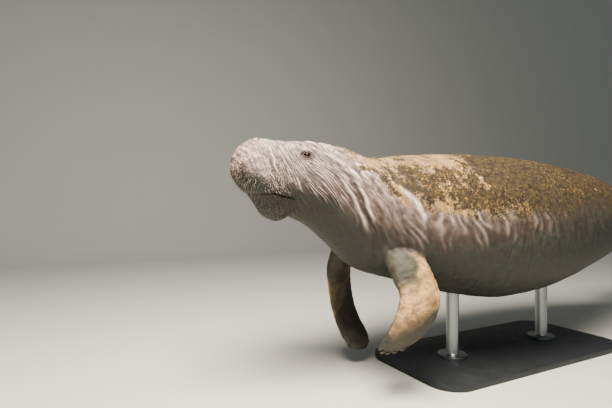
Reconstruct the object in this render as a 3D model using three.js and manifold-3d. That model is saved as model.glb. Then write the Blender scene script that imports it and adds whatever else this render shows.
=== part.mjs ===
// A still, life-size West Indian manatee held over a plain display stand, in millimetres, +Z up.
// The animal swims towards -X with its left side to -Y, its head level and its flippers hanging.
// Along the body x runs from the snout at 0 to the tail tip, and z is 0 near the level of the mouth.
// The exported group moves all of it so that the origin is the middle of the stand's underside.

import * as THREE from "three";
import { mergeVertices } from "three/addons/utils/BufferGeometryUtils.js";
import Module from "manifold-3d";

const wasm = await Module();
wasm.setup();

// Driving sizes of the animal
const bodyLength = 3000;
const headEnd = 330;
const neckEnd = 500;
const chestEnd = 860;
const trunkEnd = 1500;
const loinEnd = 2050;
const stockEnd = 2400;
const touch = 0.3;

// Muzzle, mouth and eyes
const noseLevel = 120;
const noseDepth = 95;
const noseBluntness = 2.1;
const lipLevel = 36;
const mouthCorner = { x: 194, z: 20 };
const lipFront = 70;
const jawNarrowing = 0.82;
const jawBlend = 14;
const jawFade = { start: 150, length: 90 };
const mouthGap = 4;
const mouthDepth = 12;
const throatCrease = { x: 208, z: -50 };
const muzzleBack = { x: 150, lean: 18 };
const eye = { x: 238, z: 166, radius: 13, bulge: 5, opening: 12.5 };
const lid = { outset: 2.5, thickness: 5, stretch: 1.2, sink: 0.5 };
const nostril = { x: 86, y: 23, length: 13, width: 7, depth: 7 };
const nostrilValve = { back: 6, length: 10.4, depth: 4.5 };

// Display stand
const stand = {
  middle: 1300,
  length: 1150,
  width: 520,
  thickness: 24,
  corner: 110,
  rodRadius: 27,
  footRadius: 62,
  footHeight: 14,
  rodReach: 300,
  rodTop: -250,
  bevel: 3,
  clearance: 45,
};

// A smooth curve through [x, value] keys that never swings past them
function curve(keys) {
  const slopes = keys.slice(1).map((key, i) => (key[1] - keys[i][1]) / (key[0] - keys[i][0]));
  const tangents = keys.map((key, i) => {
    const before = slopes[i - 1] ?? slopes[0];
    const after = slopes[i] ?? slopes.at(-1);
    return before * after <= 0 ? 0 : (2 * before * after) / (before + after);
  });
  return (x) => {
    if (x <= keys[0][0]) return keys[0][1];
    const next = keys.findIndex((key) => key[0] >= x);
    if (next < 0) return keys.at(-1)[1];
    const i = next - 1;
    const span = keys[next][0] - keys[i][0];
    const t = (x - keys[i][0]) / span;
    return (
      (1 + 2 * t) * (1 - t) ** 2 * keys[i][1] +
      t * (1 - t) ** 2 * span * tangents[i] +
      t * t * (3 - 2 * t) * keys[next][1] +
      t * t * (t - 1) * span * tangents[next]
    );
  };
}

const smooth = (t) => {
  const c = Math.min(1, Math.max(0, t));
  return c * c * (3 - 2 * c);
};
const signedPower = (value, power) => Math.sign(value) * Math.abs(value) ** power;

// The back, the underside and the half width, each read along the body
const back = curve([
  [0, 216], [100, 222], [190, 219], [290, 229], [390, 219], [520, 180], [640, 190], [900, 212],
  [1150, 218], [1400, 210], [1700, 180], [1958, 128], [2150, 72], [2280, 32], [2400, -12],
  [2550, -66], [2700, -108], [2850, -148], [bodyLength, -192],
]);
const underside = curve([
  [0, 58], [30, 44], [66, 32], [116, -36], [164, -61], [206, -49], [245, -59], [300, -86],
  [400, -167], [500, -249], [680, -304], [945, -377], [1200, -416], [1350, -408], [1700, -332],
  [1958, -262], [2150, -216], [2280, -192], [2400, -182], [2550, -186], [2700, -196], [2850, -210],
  [bodyLength, -210],
]);
const halfWidth = curve([
  [0, 80], [60, 89], [130, 96], [190, 101], [260, 122], [330, 148], [400, 174], [500, 212],
  [700, 262], [1050, 318], [1280, 335], [1500, 328], [1700, 300], [2050, 218], [2200, 180],
  [2290, 166], [2350, 172], [2440, 210], [2540, 264], [2640, 308], [2740, 324], [bodyLength, 324],
]);
const widestLevel = curve([
  [0, noseLevel], [60, 92], [180, 80], [260, 72], [330, 45], [420, 8], [520, -32], [700, -66],
  [1000, -108], [1300, -116], [1700, -92], [2000, -76], [2280, -88], [2550, -132], [bodyLength, -201],
]);
const squareness = curve([
  [0, 0.86], [180, 0.9], [300, 0.98], [800, 0.96], [2200, 0.96], [2600, 0.92], [bodyLength, 0.92],
]);
const edgeSharpness = curve([[0, 0.9], [300, 0.97], [2250, 0.97], [2600, 1.35], [bodyLength, 1.3]]);

// The front of the muzzle and the end of the paddle close in rounded caps
const paddleCap = 260;
const paddleRoundness = 2.1;
const paddleThinning = 0.75;
const noseCap = (x) =>
  x >= noseDepth ? 1 : (1 - (1 - x / noseDepth) ** noseBluntness) ** (1 / noseBluntness);
const tailCap = (x) => {
  const t = (x - bodyLength + paddleCap) / paddleCap;
  return t <= 0 ? 1 : Math.sqrt(Math.max(0, 1 - t ** paddleRoundness));
};
const mouthLine = curve([[0, lipLevel], [lipFront, lipLevel], [mouthCorner.x, mouthCorner.z]]);

// Soft swellings of the head, the same on both sides
const swellings = [
  { name: "lip pad", at: [88, 86, 78], reach: [52, 34, 34], height: 13 },
  { name: "lip pad edge", at: [120, 84, 50], reach: [56, 40, 17], height: 7 },
  { name: "lip cleft", at: [26, 0, 66], reach: [44, 9, 34], height: -11 },
  { name: "nostril mound", at: [84, 24, 222], reach: [30, 18, 22], height: 5 },
  { name: "between nostrils", at: [84, 0, 226], reach: [26, 8, 18], height: -3 },
  { name: "brow", at: [232, 76, 190], reach: [34, 20, 16], height: 7 },
  { name: "under the eye", at: [226, 96, 130], reach: [34, 26, 18], height: -5 },
  { name: "cheek", at: [262, 124, 50], reach: [62, 50, 52], height: 11 },
  { name: "chin", at: [122, 38, -34], reach: [46, 34, 26], height: 7 },
  { name: "lower lip", at: [96, 66, 16], reach: [60, 40, 11], height: 5 },
  { name: "throat crease", at: [210, 0, -56], reach: [13, 95, 44], height: -9 },
];

// Folds of the neck, which slant back towards the chest
const neckFolds = [
  { x: 344, depth: 4, width: 18 },
  { x: 398, depth: 7, width: 20 },
  { x: 456, depth: 6, width: 20 },
];
const foldSlant = 0.35;
const foldFade = { level: -230, height: 120 };

function foldDepth(x, z) {
  const fade = smooth((z - foldFade.level) / foldFade.height);
  return fade * neckFolds.reduce((sum, fold) => {
    const t = (x - fold.x + foldSlant * z) / fold.width;
    return sum + fold.depth * Math.exp(-t * t);
  }, 0);
}

function swellingHeight(x, y, z) {
  return swellings.reduce((sum, { at, reach, height }) => {
    const t =
      ((x - at[0]) / reach[0]) ** 2 + ((Math.abs(y) - at[1]) / reach[1]) ** 2 + ((z - at[2]) / reach[2]) ** 2;
    return sum + height * Math.exp(-t);
  }, 0);
}

// One point of the skin: x along the body, angle round it from the animal's right side over its back
function skinPoint(x, angle, grow = 0) {
  const cap = noseCap(x);
  const end = tailCap(x);
  const widest = noseLevel + (widestLevel(x) - noseLevel) * (x < noseDepth ? cap : 1);
  const top = x < noseDepth ? noseLevel + (back(x) - noseLevel) * cap : back(x);
  const bottom = x < noseDepth ? noseLevel + (underside(x) - noseLevel) * cap : underside(x);
  const thin = 1 - paddleThinning * (1 - end);
  const up = Math.sin(angle);
  const out = signedPower(Math.cos(angle), squareness(x));
  const rise = (up > 0 ? top - widest : widest - bottom) * thin;
  let y = halfWidth(x) * cap * end * out;
  const z = widest + rise * signedPower(up, edgeSharpness(x));
  const fade = 1 - smooth((x - jawFade.start) / jawFade.length);
  const below = smooth((mouthLine(x) - z) / jawBlend + 0.5) * fade;
  y *= 1 - (1 - jawNarrowing) * below;
  const point = new THREE.Vector3(x, y, z);
  const core = new THREE.Vector3(Math.max(x, noseDepth), 0, widest);
  const outward = point.clone().sub(core);
  if (outward.lengthSq() < 1e-6) outward.set(-1, 0, 0);
  const height = swellingHeight(x, y, z) - foldDepth(x, z) + grow;
  return point.addScaledVector(outward.normalize(), height);
}

// A closed mesh through rings of points, with a flat or pointed end at each side
function loft(rings) {
  const around = rings[0].length;
  const middle = (ring) => ring.reduce((sum, p) => sum.add(p), new THREE.Vector3()).divideScalar(around);
  const points = [...rings.flat(), middle(rings[0]), middle(rings.at(-1))];
  const first = points.length - 2;
  const last = points.length - 1;
  const index = [];
  for (let i = 0; i < rings.length - 1; i++) {
    for (let j = 0; j < around; j++) {
      const a = i * around + j;
      const b = i * around + ((j + 1) % around);
      index.push(a, b, b + around, a, b + around, a + around);
    }
  }
  for (let j = 0; j < around; j++) {
    const k = (j + 1) % around;
    const end = (rings.length - 1) * around;
    index.push(first, k, j, last, end + j, end + k);
  }
  const geometry = new THREE.BufferGeometry();
  geometry.setAttribute("position", new THREE.Float32BufferAttribute(points.flatMap((p) => p.toArray()), 3));
  geometry.setIndex(index);
  return geometry;
}

// A closed three.js geometry as a solid, and back
function solid(geometry) {
  const bare = geometry.clone();
  bare.deleteAttribute("normal");
  bare.deleteAttribute("uv");
  const merged = mergeVertices(bare, 1e-3);
  const index = merged.index.array;
  const kept = [];
  for (let i = 0; i < index.length; i += 3) {
    const [a, b, c] = index.slice(i, i + 3);
    if (a !== b && b !== c && c !== a) kept.push(a, b, c);
  }
  return new wasm.Manifold(
    new wasm.Mesh({
      numProp: 3,
      vertProperties: new Float32Array(merged.attributes.position.array),
      triVerts: new Uint32Array(kept),
    }),
  );
}

function geometryOf(shape) {
  const mesh = shape.getMesh();
  const geometry = new THREE.BufferGeometry();
  geometry.setAttribute("position", new THREE.Float32BufferAttribute(mesh.vertProperties, 3));
  geometry.setIndex([...mesh.triVerts]);
  return geometry;
}

const largest = (shape) => shape.decompose().sort((a, b) => b.volume() - a.volume())[0];

// Rings of the body between two places, evenly spaced unless the spacing is bent
const bodyRound = 36;
const headRound = 40;
const headSteps = 30;
const neckSteps = 12;
const chestSteps = 9;
const trunkSteps = 11;
const loinSteps = 9;
const stockSteps = 7;
const paddleSteps = 16;
const endCrowding = 0.45;
const noseCrowding = 1.7;

function bodyRing(x, round, grow) {
  return Array.from({ length: round }, (_, j) => skinPoint(x, (2 * Math.PI * j) / round, grow));
}

function bodyPiece(from, to, steps, { round = bodyRound, grow = 0, bend = (t) => t } = {}) {
  const start = from === 0 ? 0 : from + touch / 2 - grow;
  const finish = to === bodyLength ? to : to - touch / 2 + grow;
  const places = Array.from({ length: steps + 1 }, (_, i) => start + (finish - start) * bend(i / steps));
  return loft(places.map((x) => bodyRing(x, round, grow)));
}

const noseBend = (t) => t ** noseCrowding;
const crowdedEnd = (t) => (1 - endCrowding) * t + endCrowding * Math.sin((t * Math.PI) / 2);
const chestPiece = (grow) => bodyPiece(neckEnd, chestEnd, chestSteps, { grow });
const trunkPiece = (grow) => bodyPiece(chestEnd, trunkEnd, trunkSteps, { grow });
const loinPiece = (grow) => bodyPiece(trunkEnd, loinEnd, loinSteps, { grow });
const neckPiece = (grow) => bodyPiece(headEnd, neckEnd, neckSteps, { grow });
const headPiece = (grow) => bodyPiece(0, headEnd, headSteps, { round: headRound, grow, bend: noseBend });

// A blade across the head that follows a line in side view
const halfSpan = 220;
function blade(line, thickness) {
  const across = line.map((p, i) => {
    const a = line[Math.max(0, i - 1)];
    const b = line[Math.min(line.length - 1, i + 1)];
    const length = Math.hypot(b[0] - a[0], b[1] - a[1]);
    return [(-(b[1] - a[1]) / length) * (thickness / 2), ((b[0] - a[0]) / length) * (thickness / 2)];
  });
  const over = line.map((p, i) => new THREE.Vector2(p[0] + across[i][0], p[1] + across[i][1]));
  const under = line.map((p, i) => new THREE.Vector2(p[0] - across[i][0], p[1] - across[i][1]));
  const geometry = new THREE.ExtrudeGeometry(new THREE.Shape([...over, ...under.reverse()]), {
    depth: 2 * halfSpan,
    bevelEnabled: false,
  });
  geometry.rotateX(Math.PI / 2).translate(0, halfSpan, 0);
  return solid(geometry);
}

// Ellipsoid with its own axes: along, across and outward
function ellipsoid(centre, along, across, outward, sizes, detail = 16) {
  const geometry = new THREE.SphereGeometry(1, detail, Math.round(detail * 0.6));
  geometry.applyMatrix4(
    new THREE.Matrix4().makeBasis(
      along.clone().multiplyScalar(sizes[0]),
      across.clone().multiplyScalar(sizes[1]),
      outward.clone().multiplyScalar(sizes[2]),
    ).setPosition(centre),
  );
  return solid(geometry);
}

// The skin's outward direction near a point of it
const step = 4;
const turn = 0.02;
function skinNormal(x, angle) {
  const along = skinPoint(x + step, angle).sub(skinPoint(x - step, angle));
  const round = skinPoint(x, angle + turn).sub(skinPoint(x, angle - turn));
  return round.cross(along).normalize();
}

// The angle round the head at which the skin is at a level, on the right side
function angleAt(x, level) {
  let low = 0;
  let high = Math.PI / 2;
  for (let i = 0; i < 30; i++) {
    const middle = (low + high) / 2;
    if (skinPoint(x, middle).z < level) low = middle;
    else high = middle;
  }
  return (low + high) / 2;
}

// Eyes: a ball in a socket, ringed by the lids' one round fold
function eyeFrame(side) {
  const angle = angleAt(eye.x, eye.z);
  const point = skinPoint(eye.x, angle);
  const normal = skinNormal(eye.x, angle);
  const along = new THREE.Vector3(1, 0, 0).addScaledVector(normal, -normal.x).normalize();
  const across = normal.clone().cross(along);
  for (const v of [point, normal, along, across]) v.y *= side;
  const centre = point.clone().addScaledVector(normal, eye.bulge - eye.radius);
  return { point, normal, along, across: across.multiplyScalar(side), centre };
}

function eyeBall(side, grow = 0) {
  const { centre, normal, along, across } = eyeFrame(side);
  const size = eye.radius + grow;
  return ellipsoid(centre, along, across, normal, [size, size, size], 14);
}

function lidRing(side) {
  const { point, normal, along, across } = eyeFrame(side);
  const geometry = new THREE.TorusGeometry(eye.opening + lid.outset, lid.thickness, 7, 18);
  geometry.applyMatrix4(
    new THREE.Matrix4().makeBasis(along.clone().multiplyScalar(lid.stretch), across, normal).setPosition(
      point.clone().addScaledVector(normal, -lid.sink),
    ),
  );
  return solid(geometry);
}

// Nostrils: a crescent slit on top of the muzzle, round a closed valve
function nostrilCut(side) {
  const angle = Math.PI / 2 - Math.asin(nostril.y / halfWidth(nostril.x));
  const point = skinPoint(nostril.x, angle);
  const normal = skinNormal(nostril.x, angle);
  point.y *= side;
  normal.y *= side;
  const along = new THREE.Vector3(1, 0, 0).addScaledVector(normal, -normal.x).normalize();
  const across = normal.clone().cross(along);
  const cut = (centre, sizes) => ellipsoid(centre, along, across, normal, sizes, 12);
  const slit = cut(point, [nostril.width, nostril.length, nostril.depth]);
  const behind = point.clone().addScaledVector(along, nostrilValve.back);
  return slit.subtract(cut(behind, [nostril.width, nostrilValve.length, nostrilValve.depth]));
}

// Flippers: a lens-shaped blade along a bent middle line
const flipperShapes = {
  left: {
    side: -1,
    line: [
      [576, 110, -130], [572, 210, -212], [569, 262, -298], [553, 258, -384], [539, 216, -464], [547, 146, -528],
    ],
  },
  right: {
    side: 1,
    line: [
      [588, 110, -120], [580, 210, -208], [582, 264, -316], [592, 264, -420], [612, 222, -524], [642, 142, -620],
    ],
  },
};
const flipperRound = 28;
const flipperSteps = 20;
const flipperTwist = curve([[0, 0.36], [0.5, 0.32], [1, 0.08]]);
const flipperHalfChord = curve([[0, 64], [0.22, 76], [0.42, 77], [0.6, 78], [0.8, 78], [1, 74]]);
const flipperHalfThickness = curve([[0, 58], [0.22, 46], [0.42, 34], [0.6, 26], [0.8, 20], [1, 13]]);
const flipperSweep = curve([[0, 0], [0.35, 0], [0.5, 12], [0.75, 4], [1, -6]]);
const flipperTip = 0.14;
const tipRoundness = 2.4;
const tipThinning = 0.65;
const frontThinning = 0.18;
const flipperEdge = 1.12;

function flipperFrame({ side, line }, t) {
  const path = new THREE.CatmullRomCurve3(line.map(([x, y, z]) => new THREE.Vector3(x, side * y, z)));
  const centre = path.getPointAt(t);
  const down = path.getTangentAt(t);
  const level = new THREE.Vector3(Math.cos(flipperTwist(t)), side * Math.sin(flipperTwist(t)), 0);
  const chord = level.addScaledVector(down, -level.dot(down)).normalize();
  const outward = chord.clone().cross(down).normalize().multiplyScalar(side);
  const tip = (t - 1 + flipperTip) / flipperTip;
  const round = tip <= 0 ? 1 : (1 - tip ** tipRoundness) ** (1 / tipRoundness);
  return { centre, down, chord, outward, round };
}

function flipperPoint(shape, t, angle, grow = 0) {
  const { centre, chord, outward, round } = flipperFrame(shape, t);
  const reach = Math.cos(angle);
  const lead = 1 - frontThinning * reach;
  const taper = round > 0 ? 1 - tipThinning * (1 - round) : 0;
  const wide = flipperHalfChord(t) * round + grow;
  const thick = flipperHalfThickness(t) * taper * lead + grow;
  return centre
    .addScaledVector(chord, wide * reach + flipperSweep(t) * round)
    .addScaledVector(outward, thick * signedPower(Math.sin(angle), flipperEdge));
}

function flipper(shape, grow = 0) {
  const rings = Array.from({ length: flipperSteps + 1 }, (_, i) => {
    const place = crowdedEnd(i / flipperSteps);
    return Array.from({ length: flipperRound }, (_, j) =>
      flipperPoint(shape, place, (-shape.side * 2 * Math.PI * j) / flipperRound, grow),
    );
  });
  return solid(loft(rings));
}

// Nails: four small plates on the outer face, close to the tip
const nails = [
  { t: 0.925, angle: 2.35, width: 9 },
  { t: 0.95, angle: 1.95, width: 10 },
  { t: 0.952, angle: 1.5, width: 10 },
  { t: 0.935, angle: 1.05, width: 8 },
];
const nailLength = 13;
const nailThickness = 4;

function nail(shape, { t, angle, width }) {
  const point = flipperPoint(shape, t, angle);
  const along = flipperPoint(shape, t + turn, angle).sub(flipperPoint(shape, t - turn, angle)).normalize();
  const { outward } = flipperFrame(shape, t);
  const normal = outward.addScaledVector(along, -outward.dot(along)).normalize();
  const across = normal.clone().cross(along);
  return ellipsoid(point, along, across, normal, [nailLength, width, nailThickness], 10);
}

// Display stand: a flat base with rounded corners and two rods that meet the belly
const lowestPoint = -640;
const floorLevel = lowestPoint - stand.clearance;

function standBase() {
  const shape = new THREE.Shape();
  const [x, y, r] = [stand.length / 2, stand.width / 2, stand.corner];
  shape.absarc(x - r, y - r, r, 0, Math.PI / 2);
  shape.absarc(r - x, y - r, r, Math.PI / 2, Math.PI);
  shape.absarc(r - x, r - y, r, Math.PI, Math.PI * 1.5);
  shape.absarc(x - r, r - y, r, Math.PI * 1.5, Math.PI * 2);
  const geometry = new THREE.ExtrudeGeometry(shape, {
    depth: stand.thickness - 2 * stand.bevel,
    bevelThickness: stand.bevel,
    bevelSize: stand.bevel,
    bevelOffset: -stand.bevel,
    bevelSegments: 1,
    curveSegments: 6,
  });
  geometry.translate(stand.middle, 0, floorLevel + stand.bevel);
  return geometryOf(solid(geometry));
}

function standRod(x, belly) {
  const foot = floorLevel + stand.thickness + touch;
  const ledge = foot + stand.footHeight;
  const profile = [
    [0, foot], [stand.footRadius, foot], [stand.footRadius, ledge - stand.bevel],
    [stand.footRadius - 2 * stand.bevel, ledge], [stand.rodRadius + stand.bevel, ledge],
    [stand.rodRadius, ledge + 2 * stand.bevel], [stand.rodRadius, stand.rodTop], [0, stand.rodTop],
  ].map(([radius, height]) => new THREE.Vector2(radius, height));
  const geometry = new THREE.LatheGeometry(profile, 24);
  geometry.rotateX(Math.PI / 2).translate(x, 0, 0);
  return geometryOf(largest(solid(geometry).subtract(belly)));
}

// Finishes
const finish = (colour, roughness, metalness = 0) =>
  new THREE.MeshStandardMaterial({ color: colour, roughness, metalness });
const finishes = {
  skin: finish("#8c8078", 0.62),
  paleSkin: finish("#a3938a", 0.6),
  algaeSkin: finish("#776b4c", 0.85),
  darkSkin: finish("#5d5c54", 0.6),
  eye: finish("#14110f", 0.12),
  nail: finish("#b9ab94", 0.4),
  steel: finish("#8f9296", 0.35, 1),
  plate: finish("#3a3c3e", 0.5, 0.6),
};

const manatee = new THREE.Group();

function add(name, geometry, material) {
  const mesh = new THREE.Mesh(geometry, material);
  mesh.name = name;
  manatee.add(mesh);
}

// Head: lids joined on, then sockets, nostrils and the groove between the lips cut in
const pastSkin = 60;
const lipMiddle = (lipFront + mouthCorner.x) / 2;
const mouthPath = [
  [-pastSkin, lipLevel], [0, lipLevel], [lipFront, lipLevel], [lipMiddle, mouthLine(lipMiddle)],
  [mouthCorner.x, mouthCorner.z],
];
const jawBack = [
  [mouthCorner.x - touch / 2, mouthCorner.z], [throatCrease.x, throatCrease.z],
  [throatCrease.x, throatCrease.z - pastSkin],
];
const muzzlePath = [
  [muzzleBack.x, mouthLine(muzzleBack.x) - touch / 2],
  [muzzleBack.x + muzzleBack.lean, back(muzzleBack.x) + pastSkin],
];
const lips = blade(mouthPath, mouthGap).subtract(solid(headPiece(-mouthDepth)));
let wholeHead = solid(headPiece(0));
for (const side of [-1, 1]) {
  wholeHead = wholeHead.add(lidRing(side)).subtract(eyeBall(side, touch)).subtract(nostrilCut(side));
}
const parted = wholeHead
  .subtract(lips)
  .subtract(blade(mouthPath, touch))
  .subtract(blade(jawBack, touch))
  .subtract(blade(muzzlePath, touch))
  .decompose()
  .sort((a, b) => b.volume() - a.volume())
  .slice(0, 3)
  .map((shape) => ({ shape, box: shape.boundingBox() }));
const jaw = parted.reduce((low, piece) => (piece.box.max[2] < low.box.max[2] ? piece : low));
const upper = parted.filter((piece) => piece !== jaw);
const muzzle = upper.reduce((front, piece) => (piece.box.min[0] < front.box.min[0] ? piece : front));
const cranium = upper.find((piece) => piece !== muzzle);

add("muzzle", geometryOf(muzzle.shape), finishes.paleSkin);
add("lower_jaw", geometryOf(jaw.shape), finishes.darkSkin);
add("head", geometryOf(cranium.shape), finishes.paleSkin);
for (const [name, side] of [["left", -1], ["right", 1]]) {
  add(`eye_${name}`, geometryOf(eyeBall(side)), finishes.eye);
}

// Neck, trunk and tail
add("neck", neckPiece(0), finishes.skin);
add("chest", chestPiece(0), finishes.skin);
add("trunk", trunkPiece(0), finishes.algaeSkin);
add("loin", loinPiece(0), finishes.algaeSkin);
add("tail_stock", bodyPiece(loinEnd, stockEnd, stockSteps), finishes.skin);
add("tail_paddle", bodyPiece(stockEnd, bodyLength, paddleSteps, { bend: crowdedEnd }), finishes.skin);

// Flippers and their nails
const body = solid(chestPiece(touch)).add(solid(neckPiece(touch)));
for (const [name, shape] of Object.entries(flipperShapes)) {
  add(`flipper_${name}`, geometryOf(largest(flipper(shape).subtract(body))), finishes.skin);
  const under = flipper(shape, touch);
  nails.forEach((each, i) => {
    add(`nail_${name}_${i + 1}`, geometryOf(largest(nail(shape, each).subtract(under))), finishes.nail);
  });
}

// Stand
add("stand_base", standBase(), finishes.plate);
add("stand_rod_front", standRod(stand.middle - stand.rodReach, solid(trunkPiece(touch))), finishes.steel);
add("stand_rod_rear", standRod(stand.middle + stand.rodReach, solid(loinPiece(touch))), finishes.steel);

manatee.position.set(-stand.middle, 0, -floorLevel);

export default manatee;
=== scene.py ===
# A still, life-size manatee held over a plain display stand
import math
import bmesh
import bpy
import numpy as np
from mathutils import Matrix, Vector


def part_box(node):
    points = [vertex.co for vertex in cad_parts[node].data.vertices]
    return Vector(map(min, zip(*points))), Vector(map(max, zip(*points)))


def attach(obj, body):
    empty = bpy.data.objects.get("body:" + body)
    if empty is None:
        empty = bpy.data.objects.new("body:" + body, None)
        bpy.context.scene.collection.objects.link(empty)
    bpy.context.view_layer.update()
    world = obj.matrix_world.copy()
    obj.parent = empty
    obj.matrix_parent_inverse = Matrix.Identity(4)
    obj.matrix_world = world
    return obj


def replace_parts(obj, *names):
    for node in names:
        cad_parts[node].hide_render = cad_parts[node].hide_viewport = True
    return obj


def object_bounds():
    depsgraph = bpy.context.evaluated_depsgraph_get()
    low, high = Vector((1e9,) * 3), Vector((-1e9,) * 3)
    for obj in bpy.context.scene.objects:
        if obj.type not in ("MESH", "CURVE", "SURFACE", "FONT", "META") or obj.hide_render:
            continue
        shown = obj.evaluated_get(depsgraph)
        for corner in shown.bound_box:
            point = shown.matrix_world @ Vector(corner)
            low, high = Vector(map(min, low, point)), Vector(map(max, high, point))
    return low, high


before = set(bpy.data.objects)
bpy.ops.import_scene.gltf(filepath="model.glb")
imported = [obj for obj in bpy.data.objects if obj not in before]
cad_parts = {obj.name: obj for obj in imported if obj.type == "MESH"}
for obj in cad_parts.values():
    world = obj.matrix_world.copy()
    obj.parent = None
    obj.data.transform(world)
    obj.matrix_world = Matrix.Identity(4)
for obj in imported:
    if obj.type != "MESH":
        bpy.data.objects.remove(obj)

cadBox = [list(corner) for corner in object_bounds()]
bodyName = "root"
rng = np.random.default_rng(11)

# The animal is drawn in millimetres: x from the snout to the tail, z is 0 near the mouth
origin = {"x": 1300, "z": -685}


def toFrame(points):
    return (np.asarray(points, float) - (origin["x"], 0, origin["z"])) / 1000


def toAnimal(points):
    return np.asarray(points, float) * 1000 + (origin["x"], 0, origin["z"])


def smooth(t):
    t = np.clip(t, 0, 1)
    return t * t * (3 - 2 * t)


def bell(value, width, power=2):
    return np.exp(-(value / width) ** power)


def patchAt(x, z, place, reach):  # 1 at a place of the side view, fading out over its reach
    return np.exp(-((x - place[0]) / reach[0]) ** 2 - ((z - place[1]) / reach[1]) ** 2)


def signedPower(value, power):
    return np.sign(value) * np.abs(value) ** power


def curve(*keys):  # a smooth line through (x, value) keys that never swings past them
    xs, ys = np.array(keys, float).T
    slopes = np.diff(ys) / np.diff(xs)
    before, after = np.append(slopes[0], slopes), np.append(slopes, slopes[-1])
    same = before * after > 0
    tangents = np.where(same, 2 * before * after / np.where(same, before + after, 1), 0)

    def value(x):
        x = np.clip(x, xs[0], xs[-1])
        i = np.clip(np.searchsorted(xs, x) - 1, 0, len(xs) - 2)
        span = xs[i + 1] - xs[i]
        t = (x - xs[i]) / span
        return (
            (1 + 2 * t) * (1 - t) ** 2 * ys[i] + t * (1 - t) ** 2 * span * tangents[i]
            + t * t * (3 - 2 * t) * ys[i + 1] + t * t * (t - 1) * span * tangents[i + 1]
        )

    return value


# the body as the solids have it: curves run from the snout to the tail, in millimetres
torso = {
    "length": 3000,
    "back": curve(
        (0, 216), (100, 222), (190, 219), (290, 229), (390, 219), (520, 180), (640, 190), (900, 212),
        (1150, 218), (1400, 210), (1700, 180), (1958, 128), (2150, 72), (2280, 32), (2400, -12),
        (2550, -66), (2700, -108), (2850, -148), (3000, -192)),
    "underside": curve(
        (0, 58), (30, 44), (66, 32), (116, -36), (164, -61), (206, -49), (245, -59), (300, -86),
        (400, -167), (500, -249), (680, -304), (945, -377), (1200, -416), (1350, -408), (1700, -332),
        (1958, -262), (2150, -216), (2280, -192), (2400, -182), (2550, -186), (2700, -196),
        (2850, -210), (3000, -210)),
    "halfWidth": curve(
        (0, 80), (60, 89), (130, 96), (190, 101), (260, 122), (330, 148), (400, 174), (500, 212),
        (700, 262), (1050, 318), (1280, 335), (1500, 328), (1700, 300), (2050, 218), (2200, 180),
        (2290, 166), (2350, 172), (2440, 210), (2540, 264), (2640, 308), (2740, 324), (3000, 324)),
    "widest": curve(
        (0, 120), (60, 92), (180, 80), (260, 72), (330, 45), (420, 8), (520, -32), (700, -66),
        (1000, -108), (1300, -116), (1700, -92), (2000, -76), (2280, -88), (2550, -132), (3000, -201)),
    "squareness": curve((0, .86), (180, .9), (300, .98), (800, .96), (2200, .96), (2600, .92), (3000, .92)),
    "edge": curve((0, .9), (300, .97), (2250, .97), (2600, 1.35), (3000, 1.3)),
    "nose": {"level": 120, "depth": 95, "bluntness": 2.1},
    "paddle": {"cap": 260, "roundness": 2.1, "thinning": .75},
    "jaw": {"narrowing": .82, "blend": 14, "fadeFrom": 150, "fadeLength": 90},
    "lip": {"level": 36, "front": 70, "cornerX": 194, "cornerZ": 20},
}
# soft swellings of the head: place, reach and height
swellings = [
    ((88, 86, 78), (52, 34, 34), 13),  # lip pad
    ((120, 84, 50), (56, 40, 17), 7),
    ((26, 0, 66), (44, 9, 34), -11),  # cleft of the lip
    ((84, 24, 222), (30, 18, 22), 5),  # nostrils
    ((84, 0, 226), (26, 8, 18), -3),
    ((232, 76, 190), (34, 20, 16), 7),  # brow
    ((226, 96, 130), (34, 26, 18), -5),
    ((262, 124, 50), (62, 50, 52), 11),  # cheek
    ((122, 38, -34), (46, 34, 26), 7),  # chin
    ((96, 66, 16), (60, 40, 11), 5),
    ((210, 0, -56), (13, 95, 44), -9),  # throat
]
neckFolds = [(344, 4, 18), (398, 7, 20), (456, 6, 20)]  # where, how deep, how wide
foldSlant = .35
lipLine = curve(
    (0, torso["lip"]["level"]), (torso["lip"]["front"], torso["lip"]["level"]),
    (torso["lip"]["cornerX"], torso["lip"]["cornerZ"]))


def section(x):  # top, bottom, half width and widest level of the body at x
    nose, paddle = torso["nose"], torso["paddle"]
    x = np.asarray(x, float)
    front = np.clip(x / nose["depth"], 0, 1)
    cap = (1 - (1 - front) ** nose["bluntness"]) ** (1 / nose["bluntness"])
    tail = np.clip((x - torso["length"] + paddle["cap"]) / paddle["cap"], 0, 1)
    end = np.sqrt(np.maximum(0, 1 - tail ** paddle["roundness"]))
    thin = 1 - paddle["thinning"] * (1 - end)
    widest, top, bottom = (
        nose["level"] + (torso[name](x) - nose["level"]) * cap for name in ("widest", "back", "underside"))
    half = torso["halfWidth"](x) * cap * end
    return widest + (top - widest) * thin, widest - (widest - bottom) * thin, half, widest


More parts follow.
